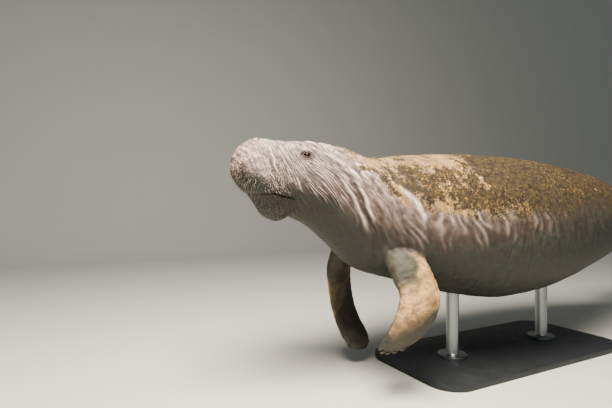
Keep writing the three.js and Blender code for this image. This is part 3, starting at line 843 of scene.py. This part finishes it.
def unwrapSkin(mesh):
    at, size, split = restPoints, charts["size"], charts["split"]
    rear, front, flipper = charts["rear"], charts["front"], charts["flipper"]
    top, bottom, half, widest = section(at[:, 0])
    turn = np.arctan2(
        (at[:, 2] - widest) / np.maximum(top - bottom, 40) * 2, np.abs(at[:, 1]) / np.maximum(half, 20))
    girth = (np.pi / 2 - turn) / np.pi  # 0 on the back, 1 under the belly
    tall = np.pi * np.sqrt((half ** 2 + ((top - bottom) / 2) ** 2) / 2) * (girth - .5)
    long = at[:, 0] + 60 * np.sqrt(np.clip(at[:, 0] / 95, 0, 1))
    loops = readAll(mesh.loops, "vertex_index", kind=int)
    starts, counts = (readAll(mesh.polygons, name, kind=int) for name in ("loop_start", "loop_total"))
    face = np.repeat(np.arange(len(counts)), counts)
    middle = np.add.reduceat(at[loops], starts) / counts[:, None]
    chart = np.where(middle[:, 1] < 0, 0, 1)
    chart[middle[:, 0] < split] += 2
    armFace = np.add.reduceat(arm[loops], starts) / counts > .5
    chart[armFace] = np.where(middle[armFace, 1] < 0, 4, 5)
    chart = chart[face]
    u, v = np.zeros(len(loops)), np.zeros(len(loops))
    for side in (0, 1):
        mine = chart == side
        u[mine] = (long[loops][mine] - split + rear["left"]) / size
        v[mine] = (tall[loops][mine] + rear["low"]) / size + side * rear["apart"]
        mine = chart == 2 + side
        u[mine] = (long[loops][mine] * front["long"] + front["left"]) / size + side * front["apart"]
        v[mine] = (tall[loops][mine] * front["tall"] + front["low"]) / size + front["up"]
        mine = chart == 4 + side
        around = armTurn[loops][mine]
        first = np.full(len(counts), 9.0)
        last = -first
        np.minimum.at(first, face[mine], around)
        np.maximum.at(last, face[mine], around)
        around[((last - first)[face[mine]] > np.pi) & (around < 0)] += 2 * np.pi  # faces that cross the seam
        u[mine] = flipper["left"] + side * flipper["apart"] + around * flipper["perTurn"]
        v[mine] = flipper["up"] + armPlace[loops][mine] * armFolds["length"] / size
    layer = mesh.uv_layers.new(name="OFBake")
    layer.data.foreach_set("uv", np.clip(np.stack([u, v], 1), 0, 1).astype(np.float32).ravel())
    return u, v, loops


uvU, uvV, uvLoops = unwrapSkin(skin.data)
rootUv = np.zeros((len(points), 2))  # where each point lies on the map, for the bristles
rootUv[uvLoops] = np.stack([uvU, uvV], 1)


# short ways to build materials
def colour(code, alpha=1):
    parts = [int(code[i:i + 2], 16) / 255 for i in (1, 3, 5)]
    return (*[c / 12.92 if c <= .04045 else ((c + .055) / 1.055) ** 2.4 for c in parts], alpha)


def newMaterial(name, **settings):
    made = bpy.data.materials.new(name)
    made.use_nodes = True
    shader = made.node_tree.nodes["Principled BSDF"]
    for key, value in settings.items():
        shader.inputs[key.replace("_", " ")].default_value = value
    return made, made.node_tree, shader


def add(tree, kind, inputs=None, **settings):
    made = tree.nodes.new(kind)
    for key, value in settings.items():
        setattr(made, key, value)
    for key, value in (inputs or {}).items():
        if isinstance(value, bpy.types.NodeSocket):
            tree.links.new(value, made.inputs[key])
        else:
            made.inputs[key].default_value = value
    return made


def attribute(tree, name, output="Fac"):
    return add(tree, "ShaderNodeAttribute", attribute_name=name).outputs[output]


def mix(tree, amount, a, b, way="MIX"):
    return add(tree, "ShaderNodeMix", {0: amount, 6: a, 7: b}, data_type="RGBA", blend_type=way).outputs[2]


def maths(tree, way, a, b, clamp=False):
    return add(tree, "ShaderNodeMath", {0: a, 1: b}, operation=way, use_clamp=clamp).outputs[0]


def times(tree, a, b, clamp=False):
    return maths(tree, "MULTIPLY", a, b, clamp)


def between(tree, value, low, high, start=0.0, finish=1.0):
    return add(tree, "ShaderNodeMapRange", {
        "Value": value, "From Min": low, "From Max": high, "To Min": start, "To Max": finish}).outputs[0]


def speckle(tree, where, scale, detail=3.0, rough=.55):
    return add(tree, "ShaderNodeTexNoise", {
        "Vector": where, "Scale": scale, "Detail": detail, "Roughness": rough}).outputs[0]


def patches(tree, where, scale, low, high, start=0.0, finish=1.0, detail=3.0, rough=.55):
    return between(tree, speckle(tree, where, scale, detail, rough), low, high, start, finish)


def stretched(tree, where, scale):
    return add(tree, "ShaderNodeVectorMath", {0: where, 1: scale}, operation="MULTIPLY").outputs[0]


def onSurface(tree):
    return add(tree, "ShaderNodeTexCoord").outputs["Object"]


def relief(tree, height, strength, distance, **more):
    settings = {"Height": height, "Strength": strength, "Distance": distance, **more}
    return add(tree, "ShaderNodeBump", settings).outputs[0]


def plug(tree, shader, value, name="Base Color"):
    tree.links.new(value, shader.inputs[name])


# the hide: pale rose-grey above, painted dark olive-grey shade below, algae on the back, tan flippers, with
# painted shade colours for creases and the half shade, and a painted highlight colour
skinLook = {
    "headPale": "#dfc8be", "headDeep": "#5e4c48", "highlightColour": "#f6e6dc", "headRose": "#d8b9ae",
    "bodyPale": "#b39f90", "bodyDeep": "#6e6157", "under": "#282d28", "underPale": "#3f443c",
    "crease": "#3a2f2a", "halfShade": "#7a6f69",
    "film": "#b58f52", "algaeGold": "#cfa14d", "algaeDark": "#1b160c", "algaeOlive": "#453920",
    "armPale": "#dcb482", "armDeep": "#9c7d58",
    "roughness": .62,
}


def makeSkinMaterial():
    look = {key: colour(code) for key, code in skinLook.items() if key != "roughness"}
    made, tree, shader = newMaterial("manatee_hide", Roughness=skinLook["roughness"])
    here, flowing = onSurface(tree), attribute(tree, "flow", "Vector")
    growthMask, clumpMask, headMask, shadeMask, halfShadeMask, creaseMask, ridgeHighlightMask, armMask, muzzleMask = (
        attribute(tree, name) for name in marks if name != "flow")

    broad = speckle(tree, here, 5.5, 4)
    mottle = speckle(tree, here, 42, 5, .62)
    grain = speckle(tree, here, 170, 4, .65)
    streak = speckle(tree, stretched(tree, flowing, (130, 30, 30)), 1.0, 3, .6)
    longStreak = speckle(tree, stretched(tree, flowing, (30, 7, 7)), 1.0, 4, .6)

    # bare hide of the head, with fine streaks and a speckled muzzle, and of the body
    head = mix(tree, between(tree, mottle, .36, .6), look["headDeep"], look["headPale"])
    head = mix(tree, between(tree, broad, .48, .7, 0, .6), head, look["headRose"])
    head = mix(tree, between(tree, streak, .42, .55, .85, 0), head, look["headDeep"])
    spots = patches(tree, stretched(tree, flowing, (230, 110, 110)), 1.0, .44, .53, 1, 0, rough=.6)
    head = mix(tree, times(tree, times(tree, spots, muzzleMask), .6), head, look["headDeep"])
    body = mix(tree, between(tree, mottle, .38, .62), look["bodyDeep"], look["bodyPale"])
    body = mix(tree, between(tree, longStreak, .5, .66, 0, .22), body, look["headPale"])
    hide = mix(tree, headMask, body, head)
    # painted half shade multiplied over the hide
    hide = mix(tree, times(tree, halfShadeMask, .95), hide, look["halfShade"], "MULTIPLY")

    # algae: a golden film, then clumps of dark specks with golden ones between
    grown = between(tree, growthMask, .1, .5)
    dust = maths(tree, "ADD", speckle(tree, here, 75, 5, .7), times(tree, growthMask, .3))
    film = times(tree, between(tree, dust, .66, .86), between(tree, growthMask, .05, .5), clamp=True)
    hide = mix(tree, film, hide, look["film"])
    specks = mix(tree, .4, speckle(tree, here, 110, 4, .7), speckle(tree, here, 40, 3, .6))
    load = maths(tree, "ADD", specks, times(tree, clumpMask, .26))
    sprinkled = times(tree, patches(tree, here, 150, .52, .59, 0, .8, rough=.7), growthMask, clamp=True)
    hide = mix(tree, sprinkled, hide, look["algaeOlive"])
    dark = times(tree, between(tree, load, .6, .66, 0, .97), grown, clamp=True)
    tone = mix(tree, patches(tree, here, 60, .42, .6), look["algaeOlive"], look["algaeDark"])
    hide = mix(tree, dark, hide, tone)
    bright = patches(tree, here, 125, .58, .65, 0, .85, rough=.65)
    bright = times(tree, bright, between(tree, broad, .4, .62, .2, 1))
    bright = times(tree, bright, between(tree, growthMask, .1, .6), clamp=True)
    hide = mix(tree, bright, hide, look["algaeGold"])

    # flippers, then painted highlights on raised lines, painted shade on the underside and in creases over all
    # of it
    limb = mix(tree, between(tree, mottle, .38, .58), look["armDeep"], look["armPale"])
    limb = mix(tree, patches(tree, here, 16, .45, .62, 0, .5), limb, look["armDeep"])
    hide = mix(tree, armMask, hide, limb)
    # painted highlight on raised lines and ridges
    hide = mix(tree, times(tree, ridgeHighlightMask, .7, clamp=True), hide, look["highlightColour"])
    # painted shade colours for the underside and the shaded parts of the flippers
    below = mix(tree, between(tree, mottle, .36, .66), look["under"], look["underPale"])
    hide = mix(tree, times(tree, shadeMask, .95), hide, below)
    # painted shade in creases, folds, pits and round the eyes
    hide = mix(tree, times(tree, creaseMask, .8), hide, look["crease"])
    plug(tree, shader, mix(tree, between(tree, grain, .5, .75, 0, .35), hide, look["headDeep"], "MULTIPLY"))
    rough = between(tree, maths(tree, "ADD", mottle, times(tree, dark, .6)), .3, 1.1, .5, .88)
    plug(tree, shader, rough, "Roughness")

    # fine relief: lines that follow the folds, rough growth on the back, and grain
    cells = add(tree, "ShaderNodeTexVoronoi", {
        "Vector": stretched(tree, flowing, (330, 120, 120)), "Scale": 1.0}, feature="DISTANCE_TO_EDGE")
    normal = relief(tree, between(tree, cells.outputs["Distance"], 0, .22), .5, .0007)
    normal = relief(tree, times(tree, speckle(tree, here, 190, 6, .75), dark), .8, .005, Normal=normal)
    fine = speckle(tree, stretched(tree, flowing, (420, 160, 160)), 1.0, 6, .7)
    plug(tree, shader, relief(tree, fine, .55, .0018, Normal=normal), "Normal")
    return made


print("skin: hide")
skin.data.materials.append(makeSkinMaterial())
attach(skin, bodyName)
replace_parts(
    skin, "muzzle", "lower_jaw", "head", "neck", "chest", "trunk", "loin", "tail_stock", "tail_paddle",
    "flipper_left", "flipper_right")


# stiff bristles on the lips and chin
bristleShape = {
    "shortest": 6, "longest": 17, "thickness": .5, "sides": 4, "steps": 4, "droop": .5,
    "colour": "#c9b9a6", "rootColour": "#8c7d70",
}


def buildBristles(name, roots):
    shape = bristleShape
    skinNormals = vertexNormals(skin.data)
    verts, faces, spots = [], [], []
    for root in roots:
        base, normal = points[root], skinNormals[root]
        lean = np.array([.35, 0, -shape["droop"]]) + rng.normal(0, .22, 3)
        direction = normal + lean
        direction /= np.linalg.norm(direction)
        length = rng.uniform(shape["shortest"], shape["longest"]) * (1.15 if base[0] < 70 else .9)
        sideways = np.cross(direction, (0, 0, 1.0))
        sideways /= max(np.linalg.norm(sideways), 1e-3)
        upward = np.cross(sideways, direction)
        start = len(verts)
        for step in range(shape["steps"] + 1):
            t = step / shape["steps"]
            centre = base - normal * .8 + direction * length * t + np.array([0, 0, -1]) * length * .22 * t * t
            wide = shape["thickness"] * (1 - .8 * t)
            for corner in range(shape["sides"]):
                turn = 2 * math.pi * corner / shape["sides"]
                verts.append(centre + wide * (math.cos(turn) * sideways + math.sin(turn) * upward))
        faces += loftFaces(shape["steps"] + 1, shape["sides"], start)
        spots += [
            (root, step / shape["steps"]) for step in range(shape["steps"] + 1) for _ in range(shape["sides"])]
    made = newObject(name, toFrame(np.array(verts)), faces)
    shadeSmooth(made.data)
    layer = made.data.uv_layers.new(name="OFBake")
    for loop, uv in zip(made.data.loops, layer.data):
        root, t = spots[loop.vertex_index]
        u, v = rootUv[root]
        uv.uv = (u + .003 * t, v + .003 * (loop.vertex_index % shape["sides"]) / shape["sides"])
    return made


print("bristles")
bristles = buildBristles("lip_bristles", roots)
made, tree, shader = newMaterial("bristle", Roughness=.45)
plug(tree, shader, mix(
    tree, patches(tree, onSurface(tree), 90, .35, .65), colour(bristleShape["rootColour"]),
    colour(bristleShape["colour"])))
bristles.data.materials.append(made)
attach(bristles, bodyName)

# dark, wet eyeballs with a faint iris
eyeLook = {"iris": "#2a1c12", "irisEdge": "#0d0906", "white": "#241c18", "pupil": 3.6, "irisRadius": 8.2}


def buildEye(name, side):
    point, along, across, normal = eyeFrame(side)
    centre = point + normal * (eyeShape["bulge"] - eyeShape["radius"])
    mesh = bpy.data.meshes.new(name)
    bm = bmesh.new()
    bmesh.ops.create_uvsphere(bm, u_segments=48, v_segments=32, radius=eyeShape["radius"] / 1000)
    for vertex in bm.verts:  # the clear front stands a little proud
        r = math.hypot(vertex.co.x, vertex.co.y) * 1000
        if vertex.co.z > 0 and r < eyeLook["irisRadius"]:
            vertex.co.z += .0007 * (1 - (r / eyeLook["irisRadius"]) ** 2)
    bm.to_mesh(mesh)
    bm.free()
    axes = Matrix((along, across * side, normal)).transposed()
    if axes.determinant() < 0:
        axes = Matrix((along, -across * side, normal)).transposed()
    mesh.transform(Matrix.Translation(Vector(toFrame(centre))) @ axes.to_4x4())
    shadeSmooth(mesh)
    made = bpy.data.objects.new(name, mesh)
    bpy.context.scene.collection.objects.link(made)
    out = toAnimal(vertexPoints(mesh)) - centre
    storeAttribute(mesh, "fromPupil", np.linalg.norm(np.cross(out, normal), axis=1) + 30 * (out @ normal < 0))
    mesh.materials.append(eyeMaterial)
    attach(made, bodyName)
    return made


eyeMaterial, tree, shader = newMaterial("wet_eye", Roughness=.16, IOR=1.33)
out, rim, pupil = attribute(tree, "fromPupil"), eyeLook["irisRadius"], eyeLook["pupil"]
edge = colour(eyeLook["irisEdge"])
ball = mix(tree, patches(tree, onSurface(tree), 900, .35, .65, detail=4), edge, colour(eyeLook["iris"]))
ball = mix(tree, between(tree, out, 6.6, rim), ball, edge)
ball = mix(tree, between(tree, out, rim - .3, rim + .6), ball, colour(eyeLook["white"]))
plug(tree, shader, mix(tree, between(tree, out, pupil + .3, pupil - .3), ball, (.003, .003, .003, 1)))
print("eyes")
for name, side in (("left", -1), ("right", 1)):
    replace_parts(buildEye(f"eyeball_{name}", side), f"eye_{name}")

# four worn nails at the end of each flipper
nailShape = {
    "length": 13, "thickness": 4, "ridges": 9,
    "places": [(.925, 2.35, 9), (.95, 1.95, 10), (.952, 1.5, 10), (.935, 1.05, 8)],  # t, angle, width
    "colour": "#5c5244", "base": "#352d24",
}


def buildNail(name, flipper, place):
    t, angle, width = place
    steps = np.array([t - .02, t, t + .02])
    before, point, after = flipperPoints(flipper, steps, np.full(3, angle))
    along = (after - before) / np.linalg.norm(after - before)
    outward = flipperFrames(flipper, np.array([t]))[3][0]
    normal = outward - along * (outward @ along)
    normal /= np.linalg.norm(normal)
    across = np.cross(normal, along)
    rows, around = 18, 28
    polar = np.linspace(.06, np.pi - .06, rows)[:, None]
    turn = np.linspace(0, 2 * np.pi, around, endpoint=False)[None, :]
    a = np.cos(polar) + 0 * turn
    b = np.sin(polar) * np.cos(turn)
    c = np.sin(polar) * np.sin(turn)
    ridge = 1 + .035 * np.cos(b * nailShape["ridges"] * np.pi) * (c > 0)
    body = (
        point + along * (a * nailShape["length"])[..., None] + across * (b * width)[..., None]
        + normal * (c * nailShape["thickness"] * ridge)[..., None])
    faces = loftFaces(rows, around)
    made = newObject(name, toFrame(body.reshape(-1, 3)), faces)
    shadeSmooth(made.data)
    faceOutward(made.data)
    storeAttribute(made.data, "alongNail", np.repeat(np.cos(polar[:, 0]), around))
    made.data.materials.append(nailMaterial)
    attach(made, bodyName)
    return made


nailMaterial, tree, shader = newMaterial("nail_horn", Roughness=.38)
worn = maths(tree, "ADD", attribute(tree, "alongNail"), times(tree, speckle(tree, onSurface(tree), 160), .8))
plug(tree, shader, mix(
    tree, between(tree, worn, -.4, .9), colour(nailShape["base"]), colour(nailShape["colour"])))
print("nails")
for flipper in flippers:
    for i, place in enumerate(nailShape["places"], 1):
        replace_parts(buildNail(f"nail_plate_{flipper}_{i}", flipper, place), f"nail_{flipper}_{i}")

# the display stand: a rounded plate and two footed rods
standShape = {
    "length": 1.15, "width": .52, "thickness": .024, "corner": .11, "bevel": .003,
    "rodRadius": .027, "footRadius": .062, "footHeight": .014, "rodReach": .3, "intoBelly": .012,
    "sides": 64,
    "plate": "#34373a", "plateWorn": "#43474a", "steel": "#a7abad", "steelDark": "#8f9396",
}


def standPlate():
    s = standShape
    points, bevel, height = [], s["bevel"], s["thickness"]
    for inset, level in (
            (bevel, 0), (bevel * .3, bevel * .3), (0, bevel), (0, height - bevel),
            (bevel * .3, height - bevel * .3), (bevel, height)):
        for quarter, (sx, sy) in enumerate([(1, 1), (-1, 1), (-1, -1), (1, -1)]):
            for step in range(13):
                turn = (quarter + step / 12) * math.pi / 2
                points.append((
                    sx * (s["length"] / 2 - s["corner"]) + (s["corner"] - inset) * math.cos(turn),
                    sy * (s["width"] / 2 - s["corner"]) + (s["corner"] - inset) * math.sin(turn), level))
    return newObject("stand_plate", points, loftFaces(6, 52))


def standRod(name, x):
    foot, rod, floor = standShape["footRadius"], standShape["rodRadius"], standShape["thickness"] + .0003
    ledge = floor + standShape["footHeight"]
    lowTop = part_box(name)[1].z
    profile = [
        (foot - .001, floor), (foot, floor + .001), (foot, ledge - .003), (foot - .002, ledge - .001),
        (foot - .006, ledge), (rod + .003, ledge), (rod + .001, ledge + .002), (rod, ledge + .006),
        (rod, lowTop - .05), (rod, lowTop + standShape["intoBelly"])]
    turns = [2 * math.pi * j / standShape["sides"] for j in range(standShape["sides"])]
    points = [(x + r * math.cos(turn), r * math.sin(turn), z) for r, z in profile for turn in turns]
    return newObject(name.replace("stand_rod", "stand_post"), points, loftFaces(len(profile), len(turns)))


print("stand")
plateMaterial, tree, shader = newMaterial("powder_coat", Metallic=.35, Roughness=.48)
here = onSurface(tree)
plug(tree, shader, mix(
    tree, patches(tree, here, 9, .35, .7, 0, .35, detail=4), colour(standShape["plate"]),
    colour(standShape["plateWorn"])))
plug(tree, shader, patches(tree, here, 30, .3, .7, .42, .58, detail=5), "Roughness")
plug(tree, shader, relief(tree, speckle(tree, here, 900, 2), .25, .0004), "Normal")
steelMaterial, tree, shader = newMaterial("brushed_steel", Metallic=1, Roughness=.32)
brush = speckle(tree, stretched(tree, onSurface(tree), (6, 6, 1500)), 1.0)
plug(tree, shader, mix(
    tree, between(tree, brush, .3, .7), colour(standShape["steelDark"]), colour(standShape["steel"])))
plug(tree, shader, between(tree, brush, .3, .7, .26, .42), "Roughness")
plug(tree, shader, relief(tree, brush, .12, .0003), "Normal")
for made, node, finish in (
        (standPlate(), "stand_base", plateMaterial),
        (standRod("stand_rod_front", -standShape["rodReach"]), "stand_rod_front", steelMaterial),
        (standRod("stand_rod_rear", standShape["rodReach"]), "stand_rod_rear", steelMaterial)):
    made.data.materials.append(finish)
    faceOutward(made.data)
    shadeSmooth(made.data)
    edge = made.modifiers.new("Crisp", "EDGE_SPLIT")
    edge.split_angle = math.radians(40)
    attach(made, bodyName)
    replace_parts(made, node)

# pale floor and wall, soft light and the camera
studio = {
    "floor": "#c6c6c1", "floorPale": "#cfcec9", "halfSize": 9, "halfWide": 14, "wallFrom": 4.2, "wallTo": 7,
    "bend": 2.0,
    "keyPower": 330, "keySize": 1.6, "fillPower": 8, "worldColour": "#dfe6e8", "worldStrength": .26,
}


def buildBackdrop():
    s = studio
    profile = [(-s["halfSize"], 0), (s["wallFrom"], 0)]
    for step in range(1, 13):
        turn = step / 12 * math.pi / 2
        profile.append((s["wallFrom"] + s["bend"] * math.sin(turn), s["bend"] * (1 - math.cos(turn))))
    profile.append((s["wallFrom"] + s["bend"], s["wallTo"]))
    rows = [(x, y, z) for y, z in profile for x in (-s["halfWide"], s["halfWide"])]
    faces = [(2 * i, 2 * i + 1, 2 * i + 3, 2 * i + 2) for i in range(len(profile) - 1)]
    made = newObject("backdrop", rows, faces)
    shadeSmooth(made.data)
    return made


print("floor, light and camera")
backdrop = buildBackdrop()
made, tree, shader = newMaterial("backdrop_paint", Roughness=.85)
plug(tree, shader, mix(
    tree, patches(tree, onSurface(tree), 2, .3, .7, 0, .2), colour(studio["floor"]),
    colour(studio["floorPale"])))
backdrop.data.materials.append(made)


def areaLight(name, place, aim, power, size, tint="#ffffff"):
    light = bpy.data.lights.new(name, "AREA")
    light.energy, light.size, light.color = power, size, colour(tint)[:3]
    made = bpy.data.objects.new(name, light)
    made.location = place
    made.rotation_euler = (Vector(aim) - Vector(place)).to_track_quat("-Z", "Y").to_euler()
    bpy.context.scene.collection.objects.link(made)


areaLight("key", (-1.5, -1.2, 3.0), (-.8, 0, .6), studio["keyPower"], studio["keySize"], "#fff6e8")
areaLight("fill", (-3.6, -2.2, 1.6), (-.7, 0, .6), studio["fillPower"], 2.4, "#eaf3ff")
world = bpy.data.worlds.new("studio")
world.use_nodes = True
world.node_tree.nodes["Background"].inputs["Color"].default_value = colour(studio["worldColour"])
world.node_tree.nodes["Background"].inputs["Strength"].default_value = studio["worldStrength"]
bpy.context.scene.world = world

cameraView = {"place": (-1.7595, -1.4185, .685), "turn": 27.6, "lens": 26.18}
lens = bpy.data.cameras.new("camera")
lens.lens, lens.sensor_width = cameraView["lens"], 36
lens.clip_start, lens.clip_end = .02, 60
camera = bpy.data.objects.new("camera", lens)
camera.location = cameraView["place"]
camera.rotation_euler = (math.pi / 2, 0, -math.radians(cameraView["turn"]))
bpy.context.scene.collection.objects.link(camera)
bpy.context.scene.camera = camera
bpy.context.scene.view_settings.view_transform = "AgX"
bpy.context.scene.view_settings.look = "AgX - Medium High Contrast"
